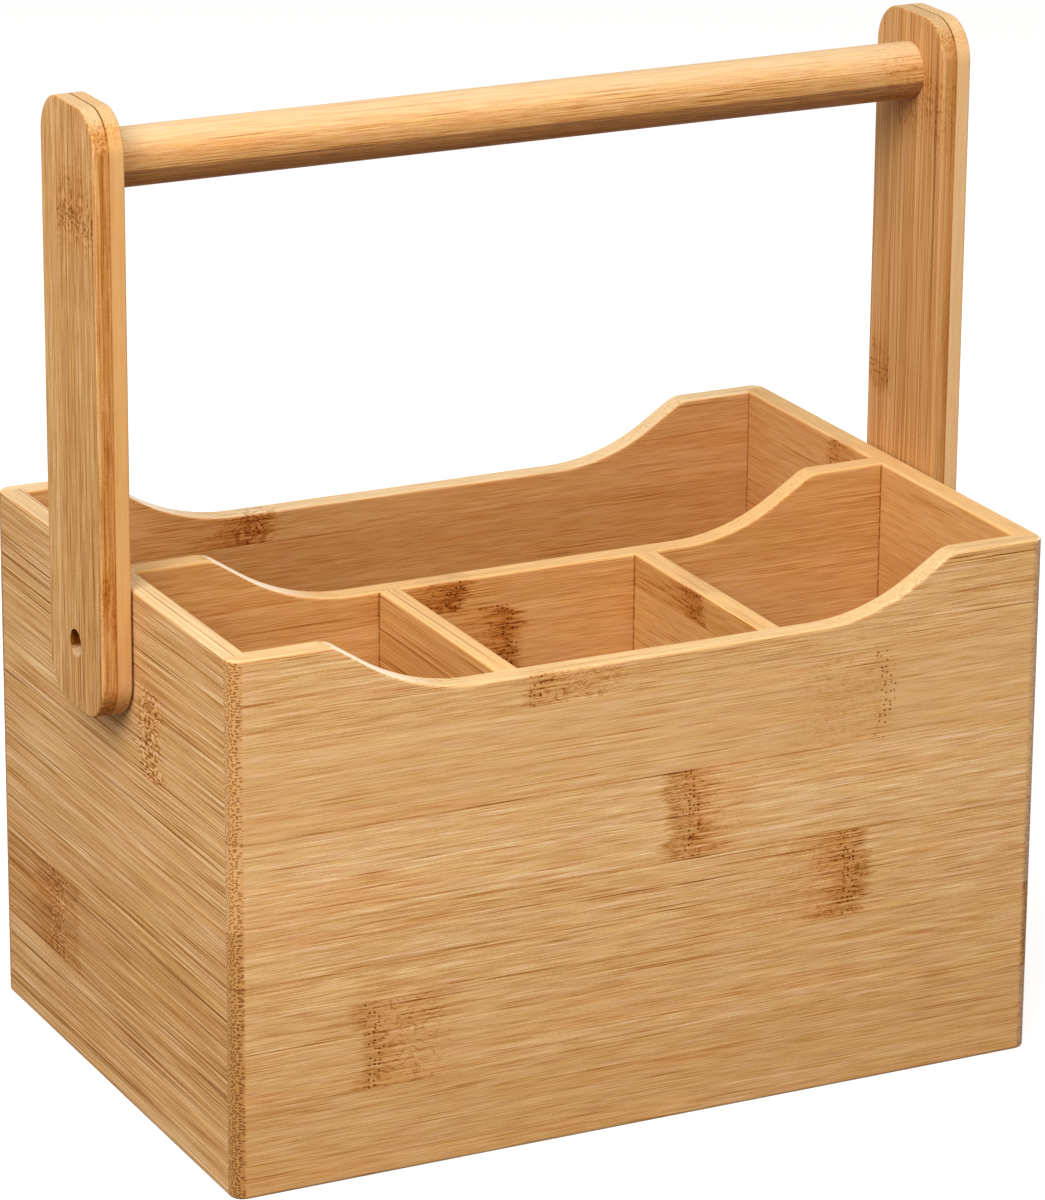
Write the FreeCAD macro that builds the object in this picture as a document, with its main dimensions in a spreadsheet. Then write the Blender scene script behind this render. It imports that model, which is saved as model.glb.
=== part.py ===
"""Bamboo cutlery caddy: an open box with four compartments and a swinging carry handle.

The frame has +Z up and its origin on the table under the middle of the box. The long sides of the
box run along X, the front faces -Y, and the handle swings about a line parallel to X.
Lengths are in millimetres.
"""

import FreeCAD, Part
import math
import os
import re

import Sketcher
from FreeCAD import Placement, Rotation, Vector

SIZES = [
    # alias, value, meaning
    ("box_width", 250, "outer length of the box along X"),
    ("box_depth", 169, "outer depth of the box along Y"),
    ("box_height", 155, "table to rim"),
    ("board", 7, "thickness of the four outer boards"),
    ("divider_board", 7, "thickness of the long centre divider"),
    ("partition_board", 7, "thickness of the two short partitions"),
    ("base_board", 5, "thickness of the base panel"),
    ("base_rise", 4, "table to the underside of the base panel"),
    ("groove_depth", 3, "groove for the base panel in the outer boards"),
    ("groove_play", 0.2, "room left at the bottom of that groove"),
    ("housing_depth", 2.5, "upright housings that take the ends of the boards"),
    ("housing_stop", 12, "blind end of a housing below the top edge"),
    ("corner_round", 4, "outer upright corners"),
    ("rim_ease", 1, "sanded edges along the rim"),
    ("foot_ease", 1, "sanded edges along the bottom"),
    ("dip_mouth", 190, "dip in the long boards, across at the rim"),
    ("dip_floor", 139.5, "dip, across its low flat"),
    ("dip_depth", 16.5, "rim to the low flat"),
    ("dip_low_round", 58, "hollow corners of the dip"),
    ("dip_shoulder_round", 8, "rounded shoulders of the dip"),
    ("pivot_drop", 19.5, "rim to the pivot of the handle"),
    ("ply", 4.5, "each of the two plies of an arm"),
    ("arm_width", 38, "arm along Y"),
    ("arm_above_grip", 17, "middle of the grip to the top of an arm"),
    ("arm_drop", 19, "pivot to the bottom of an arm"),
    ("arm_round", 12, "corners of an arm"),
    ("arm_ease", 0.6, "sanded edges of an arm"),
    ("arm_gap", 0.1, "running gap between an arm and its washer"),
    ("grip_diameter", 16.5, "round hand grip"),
    ("grip_rise", 136, "pivot to the middle of the grip"),
    ("grip_play", 0.05, "glue room around the grip in its socket, on the radius"),
    ("washer_thickness", 0.5, "spacer washer beside the box"),
    ("washer_diameter", 14, "spacer washer, across"),
    ("washer_play", 0.15, "washer around the screw, on the radius"),
    ("screw_diameter", 4, "pivot screw"),
    ("screw_length", 20, "pivot screw under its head"),
    ("screw_tip", 5, "pointed end of the screw"),
    ("head_diameter", 7.2, "pan head of the screw"),
    ("head_height", 2.2, "pan head, thickness"),
    ("head_round", 0.7, "rounded rim of the head"),
    ("head_gap", 0.1, "running gap under the head"),
    ("recess_span", 4, "cross recess, across"),
    ("recess_slot", 1.1, "width of each slot of the cross"),
    ("recess_depth", 1.2, "cross recess, deep"),
    ("head_bore", 8, "bore that sinks the screw head"),
    ("head_bore_depth", 6.4, "outer face of the arm to the bottom of that bore"),
    ("bore_play", 0.08, "running clearance of the arm on the screw, on the radius"),
    ("pilot_play", 0.05, "screw in its pilot hole, on the radius"),
]

# Places that several pieces share, in terms of the sizes above.
SHARED = {
    "inner_width": "(box_width - 2 * board)",
    "inner_depth": "(box_depth - 2 * board)",
    "floor_level": "(base_rise + base_board)",
    "dip_level": "(box_height - dip_depth)",
    "pivot_level": "(box_height - pivot_drop)",
    "partition_place": "((box_width - 2 * board - 2 * partition_board) / 6 + partition_board / 2)",
    "side_gap": "(washer_thickness + arm_gap)",
    "head_seat": "(2 * ply - head_bore_depth)",
    "arm_rise": "(grip_rise + arm_above_grip)",
}

EXPECTED_SOLIDS = 1
LEFT, RIGHT = -1, 1
UPRIGHT_TILT = 0.01  # a face whose normal rises less than this stands upright
TOP_TILT = 0.3  # and one whose normal rises more than this faces up or down
PARALLEL = 1e-6
SAME_PLACE = 1e-4

doc = FreeCAD.newDocument("cutlery_caddy")
sheet = doc.addObject("Spreadsheet::Sheet", "Sizes")
for row, (alias, value, meaning) in enumerate(SIZES, start=1):
    sheet.set("A%d" % row, meaning)
    sheet.set("B%d" % row, str(value))
    sheet.setAlias("B%d" % row, alias)
doc.recompute()
ALIASES = {alias for alias, value, meaning in SIZES}


def size(alias):
    """The number in one cell of the sheet."""
    return float(sheet.get(alias))


def as_cell(word):
    name = word.group()
    return "Sizes." + name if name in ALIASES else name


def cells(expression):
    """Write an expression on plain names as FreeCAD reads it, each name as its cell in the sheet."""
    for name, meaning in SHARED.items():
        expression = re.sub(r"\b%s\b" % name, meaning, expression)
    return re.sub(r"[a-z_]+", as_cell, expression)


# ---- sketches -------------------------------------------------------------------------------------


def new_sketch(body, role, name, offset=None):
    """A sketch on one of the body's own origin planes, moved along its normal by an expression."""
    sketch = body.newObject("Sketcher::SketchObject", name)
    plane = next(item for item in body.Origin.OriginFeatures if item.Role == role)
    sketch.AttachmentSupport = (plane, [""])
    sketch.MapMode = "FlatFace"
    if offset:
        sketch.setExpression("AttachmentOffset.Base.z", cells(offset))
    return sketch


def fix_point(sketch, geometry, point, x, y):
    """Hold one point of a sketch at two expressions, measured from the origin."""
    for kind, place in (("DistanceX", x), ("DistanceY", y)):
        index = sketch.addConstraint(Sketcher.Constraint(kind, -1, 1, geometry, point, 1.0))
        sketch.setExpression("Constraints[%d]" % index, cells(place))


def add_outline(sketch, corners):
    """A closed outline of straight lines, its corners given as pairs of expressions."""
    count = len(corners)
    turn = 2 * math.pi / count
    start = [Vector(math.cos(i * turn), math.sin(i * turn), 0) for i in range(count)]
    lines = [
        sketch.addGeometry(Part.LineSegment(start[i], start[(i + 1) % count]), False) for i in range(count)
    ]
    for i, line in enumerate(lines):
        sketch.addConstraint(Sketcher.Constraint("Coincident", line, 2, lines[(i + 1) % count], 1))
    for line, (x, y) in zip(lines, corners):
        fix_point(sketch, line, 1, x, y)


def add_rectangle(sketch, low_x, high_x, low_y, high_y):
    add_outline(sketch, [(low_x, low_y), (high_x, low_y), (high_x, high_y), (low_x, high_y)])


def add_circle(sketch, diameter, x="0", y="0"):
    circle = sketch.addGeometry(Part.Circle(Vector(0, 0, 0), Vector(0, 0, 1), 1), False)
    fix_point(sketch, circle, 3, x, y)
    index = sketch.addConstraint(Sketcher.Constraint("Diameter", circle, 2.0))
    sketch.setExpression("Constraints[%d]" % index, cells(diameter))


# ---- features -------------------------------------------------------------------------------------


def new_body(name):
    body = doc.addObject("PartDesign::Body", name)
    body.Label = name
    return body


def place(item, x="0", y="0", z="0", turned=False):
    """Set an item's place by expressions; turned stands it the other way round about Z."""
    item.Placement = Placement(Vector(0, 0, 0), Rotation(Vector(0, 0, 1), 180 if turned else 0))
    for axis, expression in (("x", x), ("y", y), ("z", z)):
        item.setExpression("Placement.Base." + axis, cells(expression))
    doc.recompute()


def pad(body, sketch, length, symmetric=True):
    feature = body.newObject("PartDesign::Pad", sketch.Name + "_pad")
    feature.Profile = sketch
    feature.SideType = "Symmetric" if symmetric else "One side"
    feature.setExpression("Length", cells(length))
    doc.recompute()
    return feature


def pocket(body, sketch, length, symmetric=False, reverse=False):
    """Cut a sketch out of the body, and make sure that it took something away."""
    before = body.Shape.Volume
    feature = body.newObject("PartDesign::Pocket", sketch.Name + "_pocket")
    feature.Profile = sketch
    feature.SideType = "Symmetric" if symmetric else "One side"
    feature.Reversed = reverse
    feature.setExpression("Length", cells(length))
    doc.recompute()
    if not body.Shape.Volume < before:
        raise RuntimeError(feature.Name + " cuts nothing")
    return feature


def fillet(body, name, radius, wanted):
    """Round the edges of the body's present shape that the test picks out."""
    base = body.Tip
    names = ["Edge%d" % (i + 1) for i, edge in enumerate(base.Shape.Edges) if wanted(edge)]
    if not names:
        raise RuntimeError(name + " finds no edge")
    feature = body.newObject("PartDesign::Fillet", name)
    feature.Base = (base, names)
    feature.setExpression("Radius", cells(radius))
    doc.recompute()
    return feature


def middle(edge):
    return edge.valueAt((edge.FirstParameter + edge.LastParameter) / 2)


def along(edge, axis):
    """True where the edge is straight and runs along the axis."""
    if not isinstance(edge.Curve, Part.Line):
        return False
    return abs(abs(edge.Curve.Direction.dot(axis)) - 1) < PARALLEL


def near(value, target):
    return abs(value - target) < SAME_PLACE


# ---- boards of the box ----------------------------------------------------------------------------


def cut_dip(body):
    """The long shallow dip in a board's top edge, with hollow low corners and rounded shoulders."""
    sketch = new_sketch(body, "XZ_Plane", body.Name + "_dip")
    add_outline(
        sketch,
        [
            ("-dip_floor / 2", "dip_level"),
            ("dip_floor / 2", "dip_level"),
            ("dip_mouth / 2", "box_height"),
            ("-dip_mouth / 2", "box_height"),
        ],
    )
    pocket(body, sketch, "2 * board + 2 * divider_board", symmetric=True)
    across = Vector(0, 1, 0)
    low = size("box_height") - size("dip_depth")
    fillet(
        body,
        body.Name + "_dip_low",
        "dip_low_round",
        lambda edge: along(edge, across) and near(middle(edge).z, low),
    )
    fillet(
        body,
        body.Name + "_dip_shoulders",
        "dip_shoulder_round",
        lambda edge: along(edge, across)
        and near(middle(edge).z, size("box_height"))
        and near(abs(middle(edge).x), size("dip_mouth") / 2),
    )


def cut_partition_housings(body, low_y, high_y):
    """Two upright housings for the ends of the partitions, cut between two depths of the board."""
    sketch = new_sketch(body, "XY_Plane", body.Name + "_partition_housings")
    for centre in ("-partition_place", "partition_place"):
        low_x = centre + " - partition_board / 2"
        high_x = centre + " + partition_board / 2"
        add_rectangle(sketch, low_x, high_x, low_y, high_y)
    pocket(body, sketch, "dip_level - housing_stop", reverse=True)


def make_long_board(name, takes_partitions):
    """Front or back board, its inner face towards +Y."""
    body = new_body(name + "_blank")
    sketch = new_sketch(body, "XZ_Plane", body.Name + "_face")
    add_rectangle(sketch, "-box_width / 2", "box_width / 2", "0", "box_height")
    pad(body, sketch, "board")
    cut_dip(body)

    housings = new_sketch(body, "XY_Plane", body.Name + "_end_housings")
    for low_x, high_x in (("-box_width / 2", "-inner_width / 2"), ("inner_width / 2", "box_width / 2")):
        add_rectangle(housings, low_x, high_x, "board / 2 - housing_depth", "board / 2")
    pocket(body, housings, "box_height", reverse=True)
    if takes_partitions:
        cut_partition_housings(body, "board / 2 - housing_depth", "board / 2")

    groove = new_sketch(body, "YZ_Plane", body.Name + "_base_groove")
    add_rectangle(groove, "board / 2 - groove_depth", "board / 2", "base_rise", "floor_level")
    pocket(body, groove, "inner_width + 2 * groove_depth", symmetric=True)

    outer_face = -size("board") / 2
    fillet(
        body,
        body.Name + "_corners",
        "corner_round",
        lambda edge: along(edge, Vector(0, 0, 1))
        and near(middle(edge).y, outer_face)
        and near(abs(middle(edge).x), size("box_width") / 2),
    )
    return body


def make_end_board(name):
    """Left or right board, its inner face towards +X. Its ends enter the long boards' housings."""
    body = new_body(name + "_blank")
    sketch = new_sketch(body, "YZ_Plane", body.Name + "_face")
    reach = "inner_depth / 2 + housing_depth"
    add_rectangle(sketch, "-(%s)" % reach, reach, "0", "box_height")
    pad(body, sketch, "board")

    housing = new_sketch(body, "XY_Plane", body.Name + "_divider_housing")
    half_divider = "divider_board / 2"
    add_rectangle(housing, "board / 2 - housing_depth", "board / 2", "-" + half_divider, half_divider)
    pocket(body, housing, "box_height - housing_stop", reverse=True)

    groove = new_sketch(body, "XZ_Plane", body.Name + "_base_groove")
    add_rectangle(groove, "board / 2 - groove_depth", "board / 2", "base_rise", "floor_level")
    pocket(body, groove, "box_depth", symmetric=True)

    pilot = new_sketch(body, "YZ_Plane", body.Name + "_pilot")
    add_circle(pilot, "screw_diameter + 2 * pilot_play", y="pivot_level")
    pocket(body, pilot, "2 * board", symmetric=True)
    return body


def make_divider(name):
    """Long centre divider with the same dip, standing on the base; its front face is towards -Y."""
    body = new_body(name + "_blank")
    sketch = new_sketch(body, "XZ_Plane", body.Name + "_face")
    reach = "inner_width / 2 + housing_depth"
    shoulder = "inner_width / 2"
    stop = "box_height - housing_stop"
    add_outline(
        sketch,
        [
            ("-(%s)" % reach, "floor_level"),
            (reach, "floor_level"),
            (reach, stop),
            (shoulder, stop),
            (shoulder, "box_height"),
            ("-(%s)" % shoulder, "box_height"),
            ("-(%s)" % shoulder, stop),
            ("-(%s)" % reach, stop),
        ],
    )
    pad(body, sketch, "divider_board")
    cut_dip(body)
    cut_partition_housings(body, "-divider_board / 2", "-divider_board / 2 + housing_depth")

    tip = "(box_width / 2 + side_gap + head_seat + head_gap - screw_length - pilot_play)"
    for side, word in ((LEFT, "left"), (RIGHT, "right")):
        pilot = new_sketch(body, "YZ_Plane", "%s_%s_pilot" % (body.Name, word), "%d * %s" % (side, tip))
        add_circle(pilot, "screw_diameter + 2 * pilot_play", y="pivot_level")
        pocket(body, pilot, "screw_length", reverse=side == RIGHT)
    return body


def make_partition(name):
    """Short partition across the front half, standing on the base; its top meets the dips' low flat."""
    body = new_body(name + "_blank")
    sketch = new_sketch(body, "YZ_Plane", body.Name + "_face")
    front = "-inner_depth / 2"
    back = "-divider_board / 2"
    stop = "dip_level - housing_stop"
    add_outline(
        sketch,
        [
            (front + " - housing_depth", "floor_level"),
            (back + " + housing_depth", "floor_level"),
            (back + " + housing_depth", stop),
            (back, stop),
            (back, "dip_level"),
            (front, "dip_level"),
            (front, stop),
            (front + " - housing_depth", stop),
        ],
    )
    pad(body, sketch, "partition_board")
    return body


def make_base(name):
    body = new_body(name + "_blank")
    sketch = new_sketch(body, "XY_Plane", body.Name + "_face", "base_rise")
    half_x = "inner_width / 2 + groove_depth - groove_play"
    half_y = "inner_depth / 2 + groove_depth - groove_play"
    add_rectangle(sketch, "-(%s)" % half_x, half_x, "-(%s)" % half_y, half_y)
    pad(body, sketch, "base_board", symmetric=False)
    return body


def make_box():
    """All boards of the box, each cut to the glued and sanded outline of the whole box."""
    blanks = {}
    blanks["front_panel"] = make_long_board("front_panel", takes_partitions=True)
    place(blanks["front_panel"], y="(board - box_depth) / 2")
    blanks["back_panel"] = make_long_board("back_panel", takes_partitions=False)
    place(blanks["back_panel"], y="(box_depth - board) / 2", turned=True)
    blanks["left_end_panel"] = make_end_board("left_end_panel")
    place(blanks["left_end_panel"], x="(board - box_width) / 2")
    blanks["right_end_panel"] = make_end_board("right_end_panel")
    place(blanks["right_end_panel"], x="(box_width - board) / 2", turned=True)
    blanks["centre_divider"] = make_divider("centre_divider")
    place(blanks["centre_divider"])
    blanks["left_partition"] = make_partition("left_partition")
    place(blanks["left_partition"], x="-partition_place")
    blanks["right_partition"] = make_partition("right_partition")
    place(blanks["right_partition"], x="partition_place")
    blanks["base_panel"] = make_base("base_panel")
    place(blanks["base_panel"])

    glued = doc.addObject("Part::MultiFuse", "glued_box")
    glued.Shapes = list(blanks.values())
    glued.Refine = True
    doc.recompute()

    sanded = doc.addObject("Part::Fillet", "sanded_box")
    sanded.Base = glued
    sanded.Edges = sanding_edges(glued.Shape)
    doc.recompute()
    return [sand(name, blank, sanded) for name, blank in blanks.items()]


def sanding_edges(shape):
    """The rim's edges, where a top face meets an upright one, and the outer edges along the bottom."""
    picked = []
    half_height = size("box_height") / 2
    for index, edge in enumerate(shape.Edges, start=1):
        point = middle(edge)
        tilts = sorted(abs(face_normal(face, point).z) for face in shape.ancestorsOfType(edge, Part.Face))
        meets_upright = len(tilts) == 2 and tilts[0] < UPRIGHT_TILT and tilts[1] > TOP_TILT
        if not meets_upright or in_pilot_hole(edge):
            continue
        if point.z > half_height:
            picked.append((index, size("rim_ease"), size("rim_ease")))
        elif near(point.z, 0) and on_outer_skin(point):
            picked.append((index, size("foot_ease"), size("foot_ease")))
    return picked


def in_pilot_hole(edge):
    if not isinstance(edge.Curve, Part.Circle):
        return False
    return near(edge.Curve.Radius, size("screw_diameter") / 2 + size("pilot_play"))


def on_outer_skin(point):
    """True within a corner's round of the box's outer faces."""
    inside_x = size("box_width") / 2 - abs(point.x)
    inside_y = size("box_depth") / 2 - abs(point.y)
    return min(inside_x, inside_y) < size("corner_round") / 2


def face_normal(face, point):
    u, v = face.Surface.parameter(point)
    return face.normalAt(u, v)


def sand(name, blank, sanded):
    board = doc.addObject("Part::MultiCommon", name)
    board.Label = name
    board.Shapes = [blank, sanded]
    doc.recompute()
    return board


# ---- handle ---------------------------------------------------------------------------------------


def make_ply(name, side):
    """One ply of an arm, drawn about the pivot, with its outer face towards -X before it is placed."""
    body = new_body(name)
    inner = name.endswith("inner_ply")
    sketch = new_sketch(body, "YZ_Plane", name + "_face")
    add_rectangle(sketch, "-arm_width / 2", "arm_width / 2", "-arm_drop", "arm_rise")
    pad(body, sketch, "ply")
    fillet(body, name + "_corners", "arm_round", lambda edge: along(edge, Vector(1, 0, 0)))

    if inner:
        bore = new_sketch(body, "YZ_Plane", name + "_bore")
        add_circle(bore, "screw_diameter + 2 * bore_play")
        pocket(body, bore, "2 * ply", symmetric=True)
        sink = new_sketch(body, "YZ_Plane", name + "_head_bore", "-ply / 2")
        add_circle(sink, "head_bore")
        pocket(body, sink, "head_bore_depth - ply", reverse=True)
        socket = new_sketch(body, "YZ_Plane", name + "_grip_socket")
        add_circle(socket, "grip_diameter + 2 * grip_play", y="grip_rise")
        pocket(body, socket, "2 * ply", symmetric=True)
    else:
        sink = new_sketch(body, "YZ_Plane", name + "_head_bore")
        add_circle(sink, "head_bore")
        pocket(body, sink, "2 * ply", symmetric=True)

    shown_face = size("ply") / 2 if inner else -size("ply") / 2
    fillet(
        body,
        name + "_eased",
        "arm_ease",
        lambda edge: near(middle(edge).x, shown_face) and on_outline(edge),
    )
    middle_of_ply = "(box_width / 2 + side_gap + %s * ply / 2)" % ("1" if inner else "3")
    place(body, x="%d * %s" % (side, middle_of_ply), z="pivot_level", turned=side == RIGHT)
    return body


def on_outline(edge):
    """True for an edge of a ply's outline, false for the rims of its holes."""
    if isinstance(edge.Curve, Part.Circle):
        return near(edge.Curve.Radius, size("arm_round"))
    return True


def make_grip(name):
    """Round grip; its ends sit in the inner plies and stop against the outer plies."""
    body = new_body(name)
    sketch = new_sketch(body, "YZ_Plane", name + "_section")
    add_circle(sketch, "grip_diameter")
    pad(body, sketch, "box_width + 2 * side_gap + 2 * ply")
    place(body, z="pivot_level + grip_rise")
    return body


# ---- pivots ---------------------------------------------------------------------------------------


def make_screw(name, side):
    """Pan head screw drawn from the top of its head along +X; it turns the other way on the right."""
    body = new_body(name)
    sketch = new_sketch(body, "XZ_Plane", name + "_half_section")
    add_outline(
        sketch,
        [
            ("0", "0"),
            ("0", "head_diameter / 2"),
            ("head_height", "head_diameter / 2"),
            ("head_height", "screw_diameter / 2"),
            ("head_height + screw_length - screw_tip", "screw_diameter / 2"),
            ("head_height + screw_length", "0"),
        ],
    )
    turned = body.newObject("PartDesign::Revolution", name + "_turned")
    turned.Profile = sketch
    turned.ReferenceAxis = (sketch, ["H_Axis"])
    turned.Angle = 360
    doc.recompute()
    fillet(
        body,
        name + "_head_rim",
        "head_round",
        lambda edge: isinstance(edge.Curve, Part.Circle)
        and near(edge.Curve.Radius, size("head_diameter") / 2)
        and near(middle(edge).x, 0),
    )
    slots = (("flat", "recess_span", "recess_slot"), ("upright", "recess_slot", "recess_span"))
    for word, wide, tall in slots:
        recess = new_sketch(body, "YZ_Plane", "%s_%s_recess" % (name, word))
        add_rectangle(recess, "-%s / 2" % wide, "%s / 2" % wide, "-%s / 2" % tall, "%s / 2" % tall)
        pocket(body, recess, "recess_depth", reverse=True)
    head_top = "(box_width / 2 + side_gap + head_seat + head_gap + head_height)"
    place(body, x="%d * %s" % (side, head_top), z="pivot_level", turned=side == RIGHT)
    return body


def make_washer(name, side):
    """Thin spacer washer flat against the end board."""
    body = new_body(name)
    sketch = new_sketch(body, "YZ_Plane", name + "_face")
    add_circle(sketch, "washer_diameter")
    add_circle(sketch, "screw_diameter + 2 * washer_play")
    pad(body, sketch, "washer_thickness")
    place(body, x="%d * (box_width + washer_thickness) / 2" % side, z="pivot_level", turned=side == RIGHT)
    return body


# ---- the whole caddy ------------------------------------------------------------------------------

pieces = make_box()
pieces.append(make_grip("grip_dowel"))
for side, word in ((LEFT, "left"), (RIGHT, "right")):
    pieces.append(make_ply(word + "_arm_outer_ply", side))
    pieces.append(make_ply(word + "_arm_inner_ply", side))
    pieces.append(make_screw(word + "_pivot_screw", side))
    pieces.append(make_washer(word + "_spacer_washer", side))

doc.recompute()
for item in doc.Objects:
    if {"Invalid", "Error"} & set(item.State):
        raise RuntimeError("%s is %s" % (item.Label, item.State))
for piece in pieces:
    shape = piece.Shape
    if shape.isNull() or not shape.isValid() or len(shape.Solids) != EXPECTED_SOLIDS:
        raise RuntimeError(piece.Label + " is not one sound solid")

os.makedirs("parts", exist_ok=True)
for piece in pieces:
    piece.Shape.exportStep(os.path.join("parts", piece.Label + ".step"))
    print("%-24s %10.1f mm3" % (piece.Label, piece.Shape.Volume))
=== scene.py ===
"""Looks of the bamboo cutlery caddy: finishes for its boards, arms, grip and hardware, and the studio.

Every wooden piece is cut from plain-pressed bamboo. Its finish is a solid pattern in millimetres that
runs through the piece: strips side by side, fibres along the grain, and knuckles in some strips.
"""

import math

import bpy
from mathutils import Matrix, Vector

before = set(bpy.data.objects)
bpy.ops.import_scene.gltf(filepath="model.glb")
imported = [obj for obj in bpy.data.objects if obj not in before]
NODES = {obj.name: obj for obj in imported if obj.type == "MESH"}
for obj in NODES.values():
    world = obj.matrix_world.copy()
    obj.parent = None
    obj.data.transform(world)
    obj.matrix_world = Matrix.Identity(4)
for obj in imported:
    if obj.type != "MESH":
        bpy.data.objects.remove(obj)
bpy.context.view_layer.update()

MM = 0.001

# ---- wires and finishes ---------------------------------------------------------------------------


class Wire:
    """One value in a node tree. Sums, products and the like add the Math nodes."""

    def __init__(self, nodes, socket):
        self.nodes = nodes
        self.socket = socket

    def math(self, operation, *others):
        return self.nodes.math(operation, self, *others)

    def __add__(self, other):
        return self.math("ADD", other)

    def __sub__(self, other):
        return self.math("SUBTRACT", other)

    def __mul__(self, other):
        return self.math("MULTIPLY", other)

    def __truediv__(self, other):
        return self.math("DIVIDE", other)

    def __rsub__(self, other):
        return self.nodes.math("SUBTRACT", other, self)

    def __rtruediv__(self, other):
        return self.nodes.math("DIVIDE", other, self)

    __radd__ = __add__
    __rmul__ = __mul__

    def __abs__(self):
        return self.math("ABSOLUTE")

    def twin(self, output):
        """Another output of the node that gives this value."""
        return Wire(self.nodes, self.socket.node.outputs[output])

    def floor(self):
        return self.math("FLOOR")

    def larger(self, other):
        return self.math("MAXIMUM", other)

    def smaller(self, other):
        return self.math("MINIMUM", other)

    def step(self, low, high):
        """Rises softly from 0 at low to 1 at high, or falls where low is the larger."""
        values = {"Value": self, "From Min": low, "From Max": high}
        return self.nodes.node("ShaderNodeMapRange", {"interpolation_type": "SMOOTHSTEP"}, values)


class NodeTree:
    """The node tree of a material or a world, in the making."""

    def __init__(self, tree, output):
        self.tree = tree
        self.tree.nodes.clear()
        self.output = self.tree.nodes.new(output)

    def node(self, kind, settings, values, output=0):
        """Add a node: its settings first, then its sockets' values or wires. Gives one output's wire."""
        node = self.tree.nodes.new(kind)
        for name, value in settings.items():
            if name == "stops":
                self.set_stops(node.color_ramp, value)
            else:
                setattr(node, name, value)
        for name, value in values.items():
            if isinstance(value, Wire):
                self.tree.links.new(value.socket, node.inputs[name])
            else:
                node.inputs[name].default_value = value
        return Wire(self, node.outputs[output])

    def set_stops(self, ramp, stops):
        while len(ramp.elements) < len(stops):
            ramp.elements.new(1.0)
        for element, (place, colour) in zip(ramp.elements, stops):
            element.position = place
            element.color = (*colour, 1.0)

    def math(self, operation, *values):
        return self.node("ShaderNodeMath", {"operation": operation}, dict(enumerate(values)))

    def parts(self, vector):
        """The three numbers of a vector or colour."""
        first = self.node("ShaderNodeSeparateXYZ", {}, {"Vector": vector})
        return [first, first.twin("Y"), first.twin("Z")]

    def point(self, x, y, z):
        return self.node("ShaderNodeCombineXYZ", {}, {0: x, 1: y, 2: z})

    def noise(self, x, y, z, detail=0.0, roughness=0.5):
        """Smooth noise about one half, one unit across."""
        values = {"Vector": self.point(x, y, z), "Scale": 1.0, "Detail": detail, "Roughness": roughness}
        return self.node("ShaderNodeTexNoise", {}, values)

    def cells(self, x, y, z, flat=False):
        """Cells about one unit across: distance to the nearest centre. Flat cells leave z out."""
        values = {"Vector": self.point(x, y, z), "Scale": 1.0, "Randomness": 0.75}
        return self.node("ShaderNodeTexVoronoi", {"voronoi_dimensions": "2D" if flat else "3D"}, values)

    def chance(self, number):
        """Three chance values that stay the same for a whole number."""
        noise = self.node("ShaderNodeTexWhiteNoise", {"noise_dimensions": "1D"}, {"W": number}, "Color")
        return self.parts(noise)

    def blend(self, factor, first, second, kind="MIX"):
        """Mix two colours."""
        settings = {"data_type": "RGBA", "blend_type": kind}
        return self.node("ShaderNodeMix", settings, {0: factor, 6: first, 7: second}, 2)

    def filtered(self, colour, tint):
        """The colour seen through a tinted glass."""
        return self.blend(1.0, colour, tint, "MULTIPLY")

    def ramp(self, value, stops):
        return self.node("ShaderNodeValToRGB", {"stops": stops}, {"Fac": value})

    def pick(self, number, table, default=0.0):
        """The table's value for a whole number: a sum of one switch per entry."""
        total = self.math("ADD", default, 0.0)
        for key, value in table.items():
            total = total + self.math("COMPARE", number, key, 0.5) * (value - default)
        return total

    def seen_apart(self, shader, seen):
        """A shader that lights the object, and another that the camera and glossy faces see instead."""
        camera = self.node("ShaderNodeLightPath", {}, {}, "Is Camera Ray")
        watched = camera.larger(camera.twin("Is Glossy Ray"))
        return self.node("ShaderNodeMixShader", {}, {0: watched, 1: shader, 2: seen})

    def close(self, shader):
        self.tree.links.new(shader.socket, self.output.inputs["Surface"])


class Finish(NodeTree):
    """A material in the making, with the surface's own coordinates in millimetres."""

    def __init__(self, name):
        self.material = bpy.data.materials.new(name)
        self.material.use_nodes = True
        super().__init__(self.material.node_tree, "ShaderNodeOutputMaterial")
        place = self.node("ShaderNodeTexCoord", {}, {}, "Object")
        self.x, self.y, self.z = (wire / MM for wire in self.parts(place))
        facing = self.node("ShaderNodeTexCoord", {}, {}, "Normal")
        self.facing_x, self.facing_y, self.facing_z = self.parts(facing)

    def surface(self, colour, roughness, height, depth, **constants):
        """Close the finish with one Principled shader; height is in parts of depth, in millimetres."""
        bump = self.node("ShaderNodeBump", {}, {"Strength": 1.0, "Distance": depth * MM, "Height": height})
        values = {"Base Color": colour, "Roughness": roughness, "Normal": bump}
        for name, value in constants.items():
            values[name.replace("_", " ").title().replace("Ior", "IOR")] = value
        self.close(self.node("ShaderNodeBsdfPrincipled", {}, values))
        return self.material


# ---- bamboo ---------------------------------------------------------------------------------------

# All lengths from here to the studio are in millimetres.
STRIP_WIDTH = 155 / 6  # strips side by side in a board; a box side is six strips high
NOWHERE = -999.0

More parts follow.
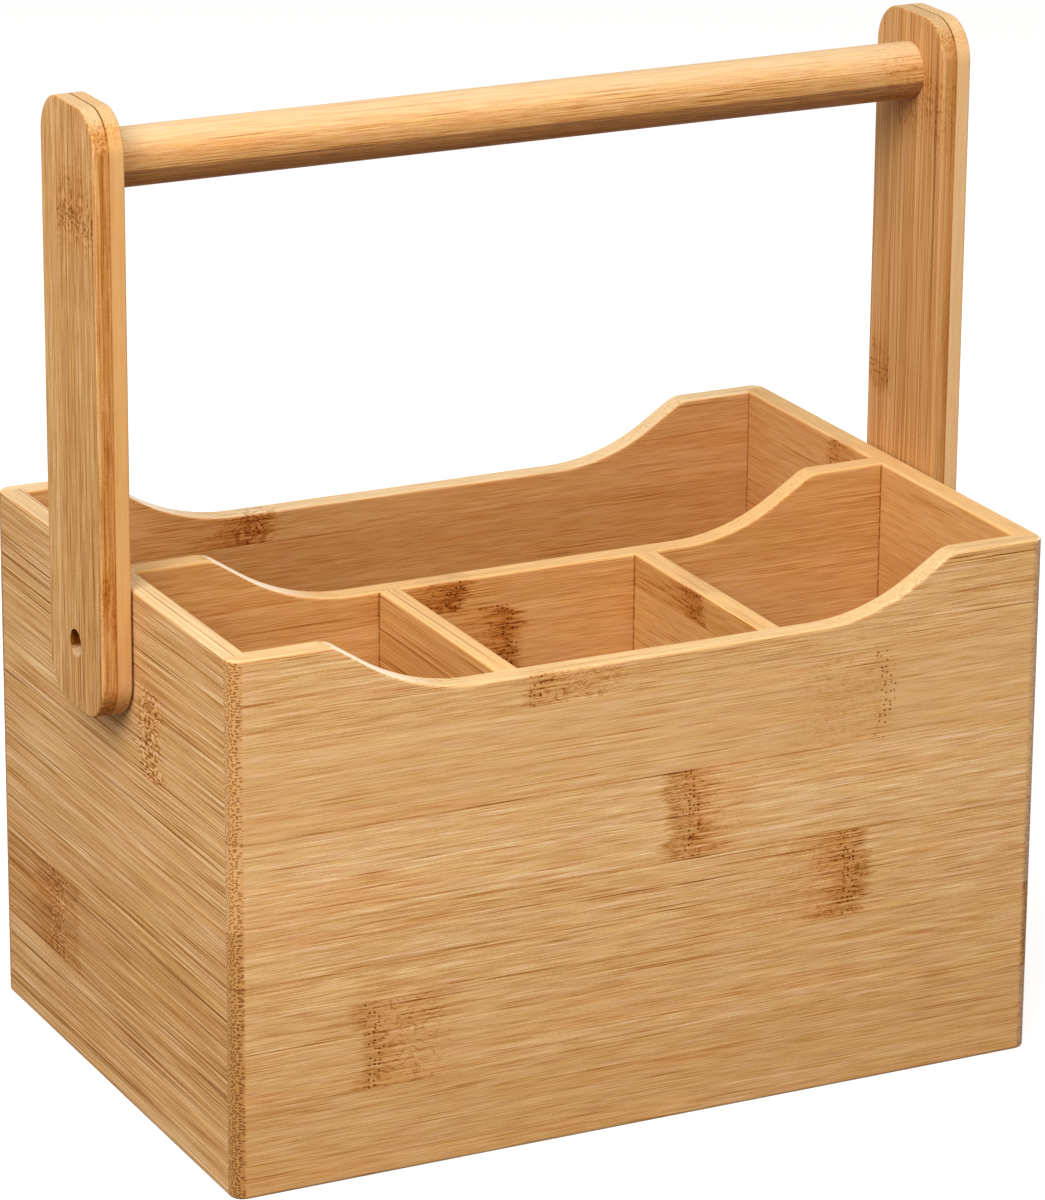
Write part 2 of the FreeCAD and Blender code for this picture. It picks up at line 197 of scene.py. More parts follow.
# Bamboo from its darkest pore to sanded cream, by tone.
BAMBOO_TONES = [
    (0.00, (0.130, 0.034, 0.002)),
    (0.20, (0.295, 0.104, 0.013)),
    (0.40, (0.475, 0.222, 0.062)),
    (0.60, (0.631, 0.350, 0.141)),
    (0.80, (0.765, 0.475, 0.228)),
    (1.00, (0.930, 0.690, 0.425)),
]
WHITE = (1.0, 1.0, 1.0, 1.0)
REDDISH = (1.0, 0.84, 0.70, 1.0)
GOLDEN = (1.0, 1.0, 0.88, 1.0)
ROSY = (1.0, 0.955, 0.99, 1.0)
# Near-white of the painted highlights and reflections.
PAINTED_GLARE_COLOUR = (1.0, 0.82, 0.63, 1.0)
# Cream of sanded tops, which also stands in for a painted sheen of the light above.
SANDED_SHEEN_CREAM = (0.69, 0.49, 0.245, 1.0)

OILED_GLOSS = 0.12
DRY_GLOSS = 0.03
OILED_ROUGHNESS = 0.58
GRAIN_SHEEN = 0.1  # how much smoother the raised grain is
GRAIN_DEPTH = 0.035

WANDER = 1.2
WANDER_LENGTH = 110
LEAN = 0.006  # how much one strip's fibres may lean against another's, per millimetre along
STRIP_JUMP = 700  # so that the lines of neighbouring strips don't run on into each other
ROD_SPACING = 0.76  # between fibre bundles
DOT_SPACING = 0.78  # the same, where they are cut across
PORE_SPACING = 1.5
KNUCKLE_BOW = 8  # a quarter of this is how far a knuckle bows at the sides of its strip

# How far each mark lightens or darkens the tone.
CHANCE_TONE = 0.05  # from strip to strip
BAND_TONE = 0.085
FINE_TONE = 0.56
PIN_TONE = 0.045
CROWDED_PIN_TONE = 0.14
MIDDLE_TONE = 0.05
SPECK_TONE = 0.20
DASH_TONE = 0.11
ROD_TONE = 0.255
THREAD_TONE = 0.26
STAIN_TONE = 0.14
HALO_TONE = 0.045
TEETH_TONE = 0.18
CURL_TONE = 0.46
RIPPLE_TONE = 0.21
GLUE_TONE = 0.06
PORE_TONE = 0.37
END_TONE = 0.05
DOT_TONE = 0.34
SEAM_TONE = 0.34
EASED_TONE = 0.05

# What sets one piece of bamboo apart from another.
PLAIN_LOOK = {
    "seed": 0.0,
    "tone": 0.6,
    "knuckles": {},  # by strip, and only on some strips
    "shades": {},  # by strip, added to the tone
    "lines": {},  # by strip, how strong its lines are
    "end_shades": {},  # by strip, added to the tone of its end grain
    "threads": (),  # long dark fibres: place across, from and to along, and how dark
    "strip_start": 0.0,  # where strip 0 begins
    "streaks": 1.0,  # strength of all lines
    "broad": 1.0,  # strength of the wider ones
    "crisp": 1.0,  # strength of the finest ones
    "rods": 1.0,  # how dark the fibre bundles are
    "stretch": 1.0,  # length of all lines
}


def knuckle(place=NOWHERE, side=0, stain=0.0, back=5.0, fore=7.0, ripple=0.0, reach=18.0, curl=0.0):
    """A knuckle of the cane: its place along the grain, the side (1 or -1) towards which its fibres
    fray, how brown its stain is and how far that goes back and fore, how strongly the fibres ripple
    beside it and how far, and how strongly they curl within it."""
    return {
        "place": place, "side": side, "stain": stain, "back": back, "fore": fore, "ripple": ripple,
        "reach": reach, "curl": curl,
    }


class Grain:
    """A point's place in its bamboo, in millimetres: along the fibres, across them and through the
    thickness, and the strip that holds it. Fibres wander a little and lean differently in every strip."""

    def __init__(self, finish, axes, look):
        self.finish = finish
        self.along, self.across, depth = axes
        seed = look["seed"]
        shifted = (self.across - look["strip_start"]) / STRIP_WIDTH
        self.strip = shifted.floor()
        self.inside = shifted - self.strip
        self.shade, lean, jump = finish.chance(self.strip + seed)
        self.wander = finish.noise(self.along / WANDER_LENGTH, self.strip * 7.3 + seed, 0.5, 1.0) * WANDER
        self.run = self.along / look["stretch"] + jump * STRIP_JUMP
        self.line = self.across + (lean - 0.5) * LEAN * self.along + self.wander
        self.layer = depth + seed

    def fibres(self, length, width, thickness, detail=0.0, roughness=0.5, shift=0.0):
        """Noise in long streaks of about this size."""
        run = self.run / length + shift if shift else self.run / length
        return self.finish.noise(run, self.line / width, self.layer / thickness, detail, roughness)

    def marks(self, length, width, thickness, detail=0.0, roughness=0.5, wave=0.0):
        """Noise of about this size that keeps its length in every piece."""
        line = (self.line + wave) / width if wave else self.line / width
        return self.finish.noise(self.along / length, line, self.layer / thickness, detail, roughness)


def knuckle_marks(grain, knuckles, flat):
    """What the knuckles do. Each has a stain that frays ahead, to one side, into a halo and ends behind
    in teeth, then ripples ahead of it, curls within it, and pores in a bow across the strip."""

    def field(name):
        table = {strip: entry[name] for strip, entry in knuckles.items()}
        return grain.finish.pick(grain.strip, table, knuckle()[name])

    side, stain, fore, curl = (field(name) for name in ("side", "stain", "fore", "curl"))
    bow = (grain.inside - 0.5) * (grain.inside - 0.5) * KNUCKLE_BOW
    off = grain.along - field("place") + bow
    fray = (grain.marks(9, 1.0, 1.2, 2.0, 0.65) - 0.5) * 2
    drift = (grain.marks(30, 4.5, 6, 1.0) - 0.5) * 2
    ahead = off * side + drift * 4
    back = ahead + field("back") + fray * 5
    patch = back.step(-2.0, 1.5) * (ahead + fray * 18 - fore).step(6.0, -6.0)
    tooth = grain.marks(5, 0.55, 0.7, 1.0).step(0.48, 0.62)
    halo = (ahead + fray * 5).step(-3.0, 2.0) * (ahead + fray * 18 - fore * 2.6).step(10.0, -10.0)
    rippled = (ahead + fray * 6).step(-2.0, 3.0) * (ahead + fray * 12 - field("reach")).step(6.0, -6.0)
    wave = (grain.marks(4.0, 3.2, 4) - 0.5) * 5.0  # short and curled fibres swerve by up to this
    hole = grain.finish.cells(grain.along / PORE_SPACING, grain.line / PORE_SPACING, 0.0, True)
    chosen = grain.finish.parts(hole.twin("Color"))[0].step(0.36, 0.38)
    pores = hole.step(0.28, 0.18) * chosen * (abs(off) + fray * 2.4).step(2.8, 2.0)
    return {
        "stain": patch * stain,
        "teeth": tooth * back.step(-3.0, 0.0) * back.step(7.0, 2.0) * stain,
        "halo": halo * stain,
        "ripple": rippled * field("ripple"),
        "short": grain.marks(1.9, 0.50, 0.7, 1.0, wave=wave).step(0.50, 0.64),
        "curls": grain.marks(2.3, 0.85, 2, 1.0, wave=wave).step(0.38, 0.62) - 0.45,
        "curled": (abs(off + drift * 5) + fray * 8).step(9.0, 4.0) * curl,
        "straight": 1.0 - curl,
        "pores": pores * stain.step(0.02, 0.08) * flat,
    }


def dark_threads(grain, middle, threads):
    """Single long fibres that stand out dark."""
    total = grain.finish.math("ADD", 0.0, 0.0)
    for place, start, stop, dark in threads:
        near = abs(grain.across + grain.wander * 0.4 + middle * 0.8 - place).step(0.34, 0.10)
        within = grain.along.step(start - 4, start + 4) * grain.along.step(stop + 4, stop - 4)
        total = total.larger(near * within * dark)
    return total


def bamboo(finish, axes, ends, flat=0.0, **changes):
    """The solid pattern of a piece of bamboo. axes are the coordinates along and across the grain and
    through the thickness; ends is 1 where the fibres are cut across, and flat is 1 on the faces that may
    show pores. changes are the entries of PLAIN_LOOK that differ. Gives the tone, the height of the
    grain, how red it is, and its hue."""
    look = {**PLAIN_LOOK, **changes}
    grain = Grain(finish, axes, look)
    streaks = look["streaks"]

    fine = grain.fibres(11, 0.30, 0.40, 1.0, 0.6) - 0.5
    pins = grain.fibres(55, 0.40, 0.9, 1.0).step(0.36, 0.64) - 0.5
    middle = grain.fibres(70, 1.15, 1.3, 1.0) - 0.5
    bands = grain.fibres(130, 4.5, 5, 1.0) - 0.5
    warmth = grain.fibres(60, 6, 6, 2.0, shift=33).step(0.50, 0.75)
    dashes = grain.fibres(8, 0.32, 0.4).step(0.58, 0.67)
    speck = grain.marks(0.6, 0.24, 0.3) - 0.5
    crowd = grain.fibres(55, 3.2, 5, 1.0).step(0.34, 0.66)
    hues = finish.parts(grain.fibres(13, 2.0, 2.2, 1.0).twin("Color"))
    hue = finish.blend(hues[1].step(0.30, 0.70), WHITE, GOLDEN)
    hue = finish.filtered(hue, finish.blend(hues[2].step(0.35, 0.70), WHITE, ROSY))

    # Fibre bundles are long thin rods: dark lines where they graze a face, dark dots where cut across.
    dive = grain.layer + finish.noise(grain.run / 42, grain.line / 6, 3.0) * 1.8
    rod = finish.cells(grain.run / 60, grain.line / ROD_SPACING, dive / ROD_SPACING)
    bundle = rod.step(0.34, 0.18) * (crowd * 0.8 + 0.2)
    dot = finish.cells(grain.line / DOT_SPACING, grain.layer / DOT_SPACING, 0.0, True)
    dots = dot.step(0.40, 0.26) * ends

    marks = knuckle_marks(grain, look["knuckles"], flat)
    curls, curled, short = marks["curls"], marks["curled"], marks["short"]
    thread = dark_threads(grain, middle, look["threads"])
    border = (0.5 - abs(grain.inside - 0.5)) * STRIP_WIDTH
    glue = border.step(0.30, 0.06)

    strength = finish.pick(grain.strip, look["lines"], 1.0) * streaks * (1.0 - ends * 0.7)
    value = look["tone"] + (grain.shade - 0.5) * CHANCE_TONE + finish.pick(grain.strip, look["shades"])
    value = value + bands * BAND_TONE * streaks - thread * THREAD_TONE
    lines = fine * (FINE_TONE * look["crisp"]) + pins * (crowd * CROWDED_PIN_TONE + PIN_TONE)
    value = value + (lines + middle * (MIDDLE_TONE * look["broad"])) * strength
    value = value + (speck * SPECK_TONE - dashes * DASH_TONE) * strength
    value = value - (bundle - crowd * 0.14 - 0.03) * (strength * (ROD_TONE * look["rods"]))
    value = value - marks["stain"] * (short * marks["straight"] * 0.17 + STAIN_TONE)
    value = value - marks["halo"] * (HALO_TONE - fine * 0.3) - marks["teeth"] * TEETH_TONE
    value = value - curled * (curls * CURL_TONE + 0.02) - marks["ripple"] * (short * RIPPLE_TONE + 0.01)
    value = value - glue * GLUE_TONE - marks["pores"] * PORE_TONE
    value = value - ends * (END_TONE - finish.pick(grain.strip, look["end_shades"])) - dots * DOT_TONE
    height = fine * 0.8 - bundle * 0.6 - marks["pores"] * 1.5 - dots * 0.8 - curled * curls
    red = warmth * 0.45 + bundle * 0.45 + marks["stain"] * 0.35 + marks["halo"] * 0.5
    red = red + marks["ripple"] * 0.25 + curled * 0.4 + thread * 0.4
    return value, height, red.smaller(1.0), hue


def close_bamboo(finish, wood, pale, tint=WHITE, painted_glare=0.0, cream=SANDED_SHEEN_CREAM, gloss=OILED_GLOSS):
    """Turn a tone into the colour and the sheen of sanded bamboo. pale says how far sanding, with a painted
    sheen of the light above, has paled it; the argument after tint is a painted highlight and reflection
    that whitens it."""
    value, height, red, hue = wood
    colour = finish.ramp(value, BAMBOO_TONES)
    colour = finish.blend(red, colour, finish.filtered(colour, REDDISH))
    colour = finish.filtered(finish.filtered(colour, hue), tint)
    colour = finish.blend(pale, colour, cream)
    colour = finish.blend(painted_glare, colour, PAINTED_GLARE_COLOUR)
    roughness = OILED_ROUGHNESS - height * GRAIN_SHEEN
    return finish.surface(colour, roughness, height, GRAIN_DEPTH, specular_ior_level=gloss)


def joint_lines(finish, axes, facings, seams):
    """Thin dark lines where a neighbour's face meets this piece. A seam is an axis, a place on it, and
    the face that shows it: its axis and the sign of its facing, or no sign for both faces."""
    dark = finish.math("ADD", 0.0, 0.0)
    ragged = finish.noise(finish.x / 1.6, finish.y / 1.6, finish.z / 1.6, 1.0).step(0.30, 0.60) * 0.6 + 0.4
    for axis, place, face, sign in seams:
        shown = facings[face].step(0.4 * sign, 0.6 * sign) if sign else abs(facings[face]).step(0.4, 0.6)
        dark = dark.larger(abs(axes[axis] - place).step(0.46, 0.14) * shown)
    return dark * ragged


def board(
    name, grain, strips_along, seams=(), tint=WHITE, cream=SANDED_SHEEN_CREAM, gloss=OILED_GLOSS, dull=None,
    **look
):
    """Finish of a flat board. grain is the axis of its fibres and strips_along the axis across them.
    dull is the stretch of its right end that gets only a weak painted reflection, unlike the rest of that
    end."""
    finish = Finish(name)
    axes = {"x": finish.x, "y": finish.y, "z": finish.z}
    facings = {"x": finish.facing_x, "y": finish.facing_y, "z": finish.facing_z}
    thick = ({"x", "y", "z"} - {grain, strips_along}).pop()
    broad_face = abs(facings[thick])
    ends = abs(facings[grain]).step(0.05, 0.35) * finish.facing_z.step(0.50, 0.25)
    order = (axes[grain], axes[strips_along], axes[thick])
    value, height, red, hue = bamboo(finish, order, ends, broad_face.step(0.6, 0.9), **look)
    # Sanded top edges are paler, partly a painted sheen of the light above; eased edges a little paler too,
    # partly wear and partly a painted highlight; and upright end grain darker.
    top = finish.facing_z.step(0.35, 0.9)
    eased = broad_face.step(0.10, 0.35) * broad_face.step(0.97, 0.85) * (1.0 - ends)
    value = value + eased * EASED_TONE - ends * (abs(facings[grain]).step(0.99, 0.90) * 0.09 + 0.02)
    if seams:
        value = value - joint_lines(finish, axes, facings, seams) * SEAM_TONE
    # Where a dip cuts across fibres that run along x, its slopes that face +x get a painted highlight.
    painted_glare = facings["x"].step(0.14, 0.50) * finish.facing_z.step(0.30, 0.60) * 0.85 if grain == "x" else 0.0
    # The end grain at the right gets a painted reflection of the white backdrop, weaker over the dull
    # stretch.
    if dull:
        start, stop = dull
        painted_reflection = 1.0 - finish.z.step(start - 0.3, start) * finish.z.step(stop, stop - 0.3) * 0.8
        painted_glare = painted_glare.larger(ends * finish.x.step(0, 10) * painted_reflection * 0.2)
    pale = (top * (height * 0.6 + 0.59)).larger(ends * 0.08)
    return close_bamboo(finish, (value, height, red, hue), pale, tint, painted_glare, cream, gloss)


ARM_SEAM = 130.1  # where the two plies of an arm meet, along X
ARM_FACE = 134.6  # the outside of an arm
PIVOT_HEIGHT = 135.5
SUNK_BORE = 4.0  # radius of the bore that takes the screw's head
EDGE_EVENNESS = 0.45  # how much weaker the lines are on the edges of a ply
SKIN_TONE = 0.14
# Depth of the painted shade on the bore's walls.
BORE_SHADE_TONE = 0.34
ARM_TOP_PALE = 0.55
# Paleness of the painted light on the bore's floor.
BORE_FLOOR_LIGHT = 0.45
GRIP_CREAM = (0.65, 0.49, 0.29, 1.0)
GRIP_STRIP = 10  # counted from the table


def arm_ply(name, skin=None, tint=WHITE, edge_tone=0.0, cream=SANDED_SHEEN_CREAM, gloss=OILED_GLOSS, **look):
    """Finish of one ply of an arm, with its fibres upright. Its edges darken over the stretch skin of x,
    towards the outside of the cane."""
    finish = Finish(name)
    ends = abs(finish.facing_z).step(0.25, 0.7)
    broad_face = abs(finish.facing_x)
    order = (finish.z, finish.y, finish.x)
    value, height, red, hue = bamboo(finish, order, ends, broad_face.step(0.6, 0.9), **look)
    edge = abs(finish.facing_y).step(0.3, 0.9)
    joint = abs(abs(finish.x) - ARM_SEAM).step(0.32, 0.10) * (1.0 - broad_face)
    high = finish.facing_z.step(0.3, 0.8)
    value = value * (1.0 - edge * EDGE_EVENNESS) + edge * (look["tone"] * EDGE_EVENNESS + edge_tone)
    value = value - joint * (high * 0.35 + 0.15)
    if skin:
        dark = finish.x.step(*skin) * edge
        value = value - dark * (1.0 - high) * SKIN_TONE
        red = red + dark * (1.0 - ends) * 0.5
    # The bore's walls are darkened and reddened with painted shade, and its floor is pale with painted
    # light where the light falls in.
    rise = finish.z - PIVOT_HEIGHT
    bore = (finish.y * finish.y + rise * rise).step((SUNK_BORE + 0.3) ** 2, (SUNK_BORE + 0.1) ** 2)
    bore = bore * (1.0 - broad_face.step(0.5, 0.9) * abs(finish.x).step(ARM_FACE - 1.1, ARM_FACE - 0.8))
    floor = finish.facing_z.step(0.35, 0.75)
    value = value - bore * (1.0 - floor) * BORE_SHADE_TONE
    red = (red + bore * 0.5).smaller(1.0)
    # Its top is paler: sanded, and partly a painted sheen of the light above.
    top = finish.facing_z.step(0.5, 0.95) * (1.0 - joint)
    pale = (top * ARM_TOP_PALE).larger(bore * floor * BORE_FLOOR_LIGHT)
    return close_bamboo(finish, (value, height, red, hue), pale, tint, 0.0, cream, gloss)


def grip_finish():
    """A turned rod: pale on top, partly a painted highlight, and darker on its sides and below, partly the
    cane's dark side and partly painted shade.
    """
    finish = Finish("grip_bamboo")
    ends = abs(finish.facing_x).step(0.45, 0.8)
    order = (finish.x, finish.z, finish.y)
    knuckles = {GRIP_STRIP: knuckle(113, 1, 0.05, 4.0, 6.0, 0.8, 12.0)}
    value, height, red, hue = bamboo(
        finish, order, ends, knuckles=knuckles, seed=151.0, tone=0.64, streaks=0.9
    )
    # Painted shade darkens the underside strongly and all but the very top lightly; the underside's
    # darkness is partly the cane's dark side too.
    under = finish.facing_z.step(-0.20, -0.28)
    value = value - under * (0.40 + finish.facing_z * 0.30) - finish.facing_z.step(0.75, 0.0) * 0.13
    pale = (finish.facing_z.step(0.35, 0.95) * (height * 0.4 + 0.57)).larger(under * 0.13)
    red = (red + under * 0.5).smaller(1.0)
    return close_bamboo(finish, (value, height, red, hue), pale, cream=GRIP_CREAM)


def steel_finish():
    finish = Finish("zinc_plated_steel")
    scratches = finish.noise(finish.x / 0.6, finish.y / 0.1, finish.z / 0.1, 2.0)
    colour = finish.ramp(scratches, [(0.3, (0.46, 0.46, 0.47)), (0.7, (0.66, 0.66, 0.67))])
    return finish.surface(colour, 0.25 + scratches * 0.2, scratches, 0.01, metallic=1.0)


def nylon_finish():
    finish = Finish("natural_nylon")
    cloud = finish.noise(finish.x / 2, finish.y / 2, finish.z / 2, 2.0)
    colour = finish.ramp(cloud, [(0.3, (0.70, 0.67, 0.58)), (0.7, (0.80, 0.77, 0.69))])
    return finish.surface(colour, 0.4 + cloud * 0.1, cloud, 0.01)


def dress(node, material):
    for slot in NODES[node].material_slots:
        slot.material = material


# ---- boards of the box ----------------------------------------------------------------------------

# Creams of sanded tops for other pieces, which also carry a painted sheen of the light above.
INNER_CREAM = (0.77, 0.505, 0.225, 1.0)
BACK_CREAM = (0.97, 0.75, 0.435, 1.0)
LEFT_CREAM = (0.76, 0.56, 0.32, 1.0)
BACK_TINT = (1.0, 0.94, 0.90, 1.0)
DIVIDER_TINT = (1.0, 0.93, 0.83, 1.0)
RIGHT_END_TINT = (1.0, 0.91, 0.77, 1.0)
LEFT_PARTITION_TINT = (1.0, 0.91, 0.75, 1.0)
RIGHT_PARTITION_TINT = (1.0, 0.94, 0.79, 1.0)

# Where neighbouring boards meet a piece, as seams.
END_FACE = 118.0
PARTITION_FACES = (37.0, 44.0)
DIVIDER_FACE = 3.5
END_SEAMS = [("x", place, "y", -1) for place in (END_FACE, -END_FACE)]
PARTITION_SEAMS = [("x", sign * place, "y", -1) for sign in (1, -1) for place in PARTITION_FACES]
DIVIDER_SEAM = [("y", -DIVIDER_FACE, "x", 0)]


def end_seams(inward):
    """The joint of an end board with the divider, on its inner face."""
    return [("y", place, "x", inward) for place in (DIVIDER_FACE, -DIVIDER_FACE)]


dress("front_panel", board(
    "front_board_bamboo", "x", "z", seed=3.0, dull=(25.8, 51.7),
    streaks=0.88, stretch=1.3, rods=1.2, crisp=1.5,
    knuckles={
        1: knuckle(-83, 1, 0.65, 4.0, 1.0, 1.0, 20.0),
        2: knuckle(64, -1, 0.95, 6.0, 6.0, 0.35, 30.0),
        3: knuckle(14, 1, 1.0, 7.0, 6.0, 0.3, 14.0),
        4: knuckle(75, -1, 0.1, 2.0, 4.0, 0.45, 26.0),
        5: knuckle(-34, 1, 0.6, 2.5, 3.0, 1.0, 26.0),
    },
    shades={0: -0.03, 1: 0.04, 2: 0.04, 3: 0.075, 4: 0.045, 5: 0.02},
    lines={0: 0.8, 1: 1.0, 2: 1.15, 3: 1.1, 4: 0.75, 5: 1.1},
    end_shades={0: -0.07, 1: -0.10, 2: -0.08, 3: 0.02, 4: 0.03, 5: 0.03},
    threads=[
        (61.7, -130, -8, 0.9), (63.0, -70, 20, 0.5), (103.4, -130, 60, 0.7),
        (77.6, -60, 130, 0.6), (51.5, -40, 95, 0.5),
    ],
))
dress("back_panel", board(
    "back_board_bamboo", "x", "z", END_SEAMS, BACK_TINT, BACK_CREAM, seed=17.0, tone=0.54, streaks=0.6,
    knuckles={
        0: knuckle(40, 1, 0.4, 5.0, 7.0, 0.4),
        2: knuckle(-84, -1, 0.55, 5.0, 7.0, 0.4),
        3: knuckle(92, 1, 0.5, 4.0, 6.0, 0.6),
        5: knuckle(-45, -1, 0.8, 3.0, 14.0, 0.3, 18.0, 0.5),
    },
    shades={4: -0.06},
))
dress("left_end_panel", board(
    "left_end_bamboo", "y", "z", end_seams(1), WHITE, LEFT_CREAM, DRY_GLOSS, seed=31.0, tone=0.55,
    streaks=1.3, stretch=3.8, rods=1.65, crisp=1.85, broad=0.3,
    knuckles={
        1: knuckle(43, 1, 0.5, 15.0, 14.0, 0.2, 16.0, 0.7),
        4: knuckle(-28, -1, 0.12, 6.0, 5.0, 0.4, 9.0, 1.2),
    },
    shades={0: 0.04, 1: -0.07, 2: 0.05, 3: 0.06, 4: 0.06, 5: 0.04},
))
dress("right_end_panel", board(
    "right_end_bamboo", "y", "z", end_seams(-1), RIGHT_END_TINT, INNER_CREAM, seed=47.0,
    tone=0.565, streaks=0.6,
    knuckles={2: knuckle(-40, 1, 0.6, 5.0, 7.0, 0.4), 5: knuckle(25, -1, 0.6, 4.0, 4.0, 0.4)},
    shades={5: 0.04},
))
dress("centre_divider", board(
    "divider_bamboo", "x", "z", END_SEAMS + PARTITION_SEAMS, DIVIDER_TINT, INNER_CREAM, seed=59.0,
    tone=0.58, streaks=0.65,
    knuckles={4: knuckle(-3, -1, 1.0, 3.0, 7.0, 0.3, 10.0), 5: knuckle(-20, -1, 1.0, 3.0, 9.0, 0.4, 14.0)},
    shades={5: -0.06},
))
dress("left_partition", board(
    "left_partition_bamboo", "y", "z", DIVIDER_SEAM, LEFT_PARTITION_TINT, INNER_CREAM, seed=71.0,
    tone=0.51, rods=2.2, stretch=3.5,
))
dress("right_partition", board(
    "right_partition_bamboo", "y", "z", DIVIDER_SEAM, RIGHT_PARTITION_TINT, INNER_CREAM, seed=83.0,
    tone=0.59, streaks=0.7,
    knuckles={5: knuckle(-39, 1, 0.9, 5.0, 5.0, 0.4)},
    shades={5: -0.09},
))
dress("base_panel", board("base_bamboo", "x", "y", seed=97.0, tone=0.58))

# ---- handle and hardware --------------------------------------------------------------------------

LEFT_INNER_TINT = (1.0, 0.97, 0.90, 1.0)
RIGHT_INNER_TINT = (1.0, 1.0, 1.06, 1.0)
RIGHT_OUTER_TINT = (1.0, 1.04, 1.16, 1.0)
LEFT_STRIPS = 8.0  # where the strips of an arm begin, along y
RIGHT_STRIPS = 5.9

dress("left_arm_outer_ply", arm_ply(
    "left_outer_ply_bamboo", (-134.7, -133.4), cream=LEFT_CREAM, gloss=DRY_GLOSS, seed=101.0, tone=0.56,
    strip_start=LEFT_STRIPS, streaks=1.5, broad=3.3, stretch=1.3,
    knuckles={
        -1: knuckle(257, 1, 0.12, 9.0, 7.0, 0.9, 14.0, 0.55),
        -2: knuckle(150, 1, 0.5, 5.0, 6.0, 0.8, 12.0),
    },
    shades={0: 0.05, -1: -0.035},
))
dress("left_arm_inner_ply", arm_ply(
    "left_inner_ply_bamboo", tint=LEFT_INNER_TINT, seed=113.0, tone=0.61, strip_start=LEFT_STRIPS,
    streaks=0.35, rods=0.5,
))
dress("right_arm_inner_ply", arm_ply(
    "right_inner_ply_bamboo", (126.0, 131.0), RIGHT_INNER_TINT, edge_tone=0.01, seed=127.0, tone=0.49,
    strip_start=RIGHT_STRIPS, streaks=1.2, rods=0.8, broad=2.8, stretch=4.0,
    knuckles={0: knuckle(179, 1, 0.45, 5.0, 5.0, 0.3, 8.0), -1: knuckle(274, -1, 0.0, 2.0, 4.0, 0.8, 20.0)},
    shades={-1: -0.03},
))
dress("right_arm_outer_ply", arm_ply(
    "right_outer_ply_bamboo", tint=RIGHT_OUTER_TINT, seed=139.0, tone=0.68, strip_start=RIGHT_STRIPS,
    streaks=0.5, rods=0.6, broad=3.3, stretch=1.3,
))
dress("grip_dowel", grip_finish())
steel = steel_finish()
nylon = nylon_finish()
for end in ("left", "right"):
    dress(end + "_pivot_screw", steel)
    dress(end + "_spacer_washer", nylon)

# ---- studio ---------------------------------------------------------------------------------------

VIEW_YAW = math.radians(-26.466)
VIEW_PITCH = math.radians(18.652)
VIEW_ROLL = math.radians(0.429)
VIEW_DISTANCE = 1.66808  # metres, as the next two
VIEW_RIGHT = 0.00245
VIEW_RISE = 0.12196
SENSOR = 36.0  # millimetres
FOCAL_PIXELS = 5692.06
IMAGE_HEIGHT = 1200


def make_camera():
    back = Vector(
        (
            math.sin(VIEW_YAW) * math.cos(VIEW_PITCH),
            -math.cos(VIEW_YAW) * math.cos(VIEW_PITCH),
            math.sin(VIEW_PITCH),
        )
    )
    level = Vector((math.cos(VIEW_YAW), math.sin(VIEW_YAW), 0))
    upright = back.cross(level)
    place = back * VIEW_DISTANCE + level * VIEW_RIGHT + upright * VIEW_RISE
    right = level * math.cos(VIEW_ROLL) + upright * math.sin(VIEW_ROLL)
    above = upright * math.cos(VIEW_ROLL) - level * math.sin(VIEW_ROLL)
    data = bpy.data.cameras.new("camera")
    data.sensor_fit = "VERTICAL"
    data.sensor_height = SENSOR
    data.lens = FOCAL_PIXELS / IMAGE_HEIGHT * SENSOR
    camera = bpy.data.objects.new("camera", data)
    camera.matrix_world = Matrix.Translation(place) @ Matrix((right, above, back)).transposed().to_4x4()
    bpy.context.scene.collection.objects.link(camera)
    bpy.context.scene.camera = camera


FLOOR_REACH = 6.0  # metres
FLOOR_COLOUR = (0.80, 0.80, 0.80, 1.0)
FLOOR_BOUNCE = (0.12, 0.11, 0.10, 1.0)
FLOOR_GLOW = 0.45
WORLD_COLOUR = (1.0, 0.99, 0.975, 1.0)
WORLD_STRENGTH = 0.53
BACKDROP_COLOUR = (0.80, 0.80, 0.80, 1.0)


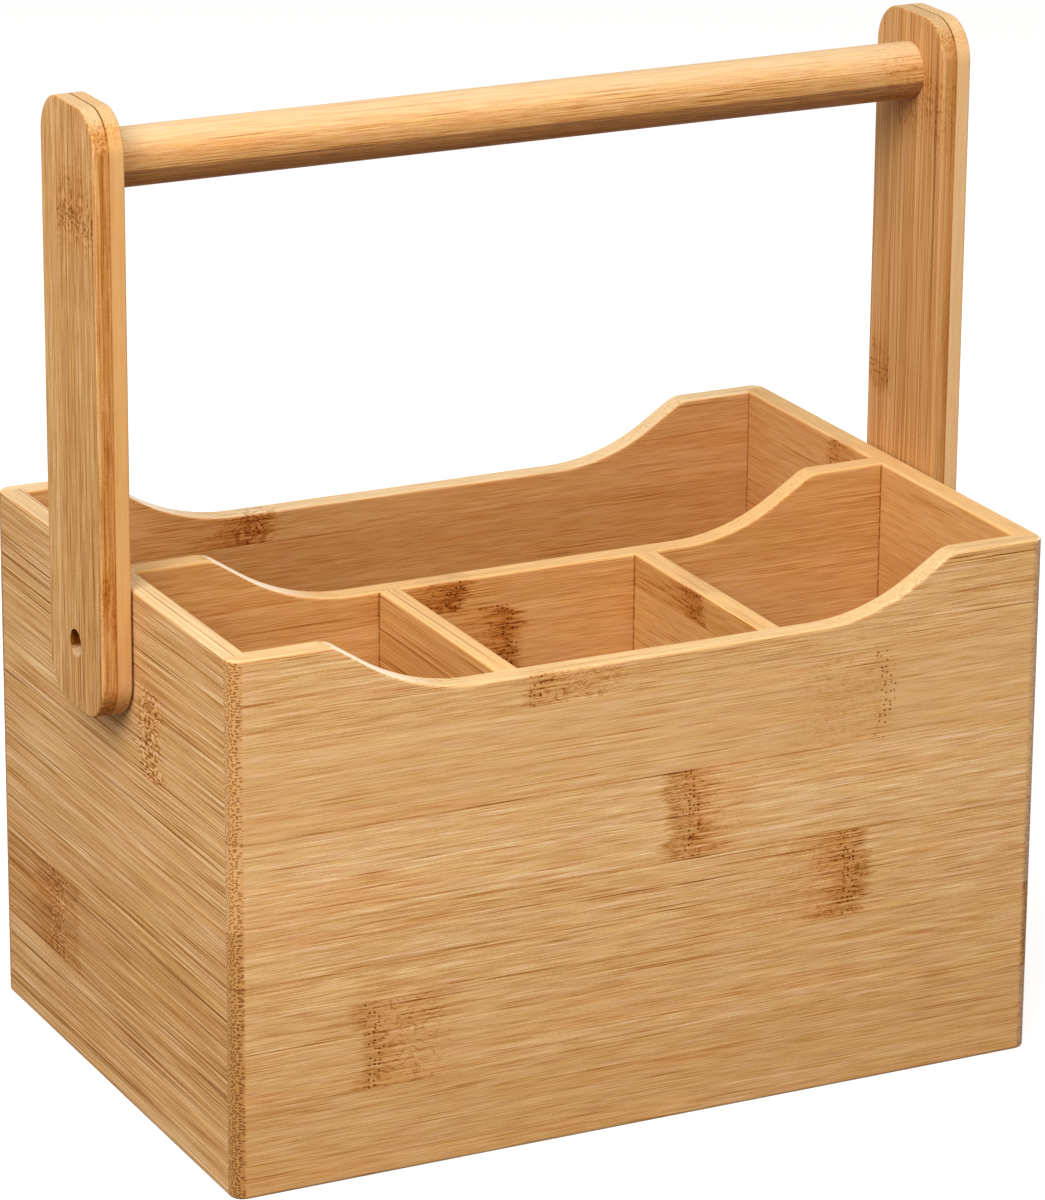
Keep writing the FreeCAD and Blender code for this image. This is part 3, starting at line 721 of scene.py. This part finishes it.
def make_floor():
    """A pale floor, white to the eye and in gloss, that throws little light up under the object."""
    mesh = bpy.data.meshes.new("floor")
    reach = FLOOR_REACH
    corners = [(-reach, -reach, 0), (reach, -reach, 0), (reach, reach, 0), (-reach, reach, 0)]
    mesh.from_pydata(corners, [], [(0, 1, 2, 3)])
    plane = bpy.data.objects.new("floor", mesh)
    bpy.context.scene.collection.objects.link(plane)
    finish = Finish("floor")
    pale = finish.node("ShaderNodeBsdfDiffuse", {}, {"Color": FLOOR_COLOUR})
    glow = finish.node("ShaderNodeEmission", {}, {"Strength": FLOOR_GLOW})
    shown = finish.node("ShaderNodeAddShader", {}, {0: pale, 1: glow})
    dim = finish.node("ShaderNodeBsdfDiffuse", {}, {"Color": FLOOR_BOUNCE})
    finish.close(finish.seen_apart(dim, shown))
    mesh.materials.append(finish.material)


LAMP_AIM = (0, 0, 0.15)
LAMP_SIZE = 0.8


def make_lamp(name, place, power):
    data = bpy.data.lights.new(name, "AREA")
    data.shape = "SQUARE"
    data.size = LAMP_SIZE
    data.energy = power
    lamp = bpy.data.objects.new(name, data)
    lamp.location = place
    lamp.rotation_euler = (Vector(LAMP_AIM) - Vector(place)).to_track_quat("-Z", "Y").to_euler()
    bpy.context.scene.collection.objects.link(lamp)


def make_world():
    """Soft light from all round; what the camera and glossy faces see of it is a plain pale tone."""
    world = bpy.data.worlds.new("studio")
    world.use_nodes = True
    sky = NodeTree(world.node_tree, "ShaderNodeOutputWorld")
    soft = sky.node("ShaderNodeBackground", {}, {"Color": WORLD_COLOUR, "Strength": WORLD_STRENGTH})
    backdrop = sky.node("ShaderNodeBackground", {}, {"Color": BACKDROP_COLOUR, "Strength": 1.0})
    sky.close(sky.seen_apart(soft, backdrop))
    bpy.context.scene.world = world


make_camera()
make_floor()
make_world()
make_lamp("left_soft_box", (-0.85, -0.55, 1.0), 15.5)
make_lamp("front_soft_box", (-0.1, -0.9, 1.1), 8.7)
bpy.context.scene.view_settings.view_transform = "Standard"
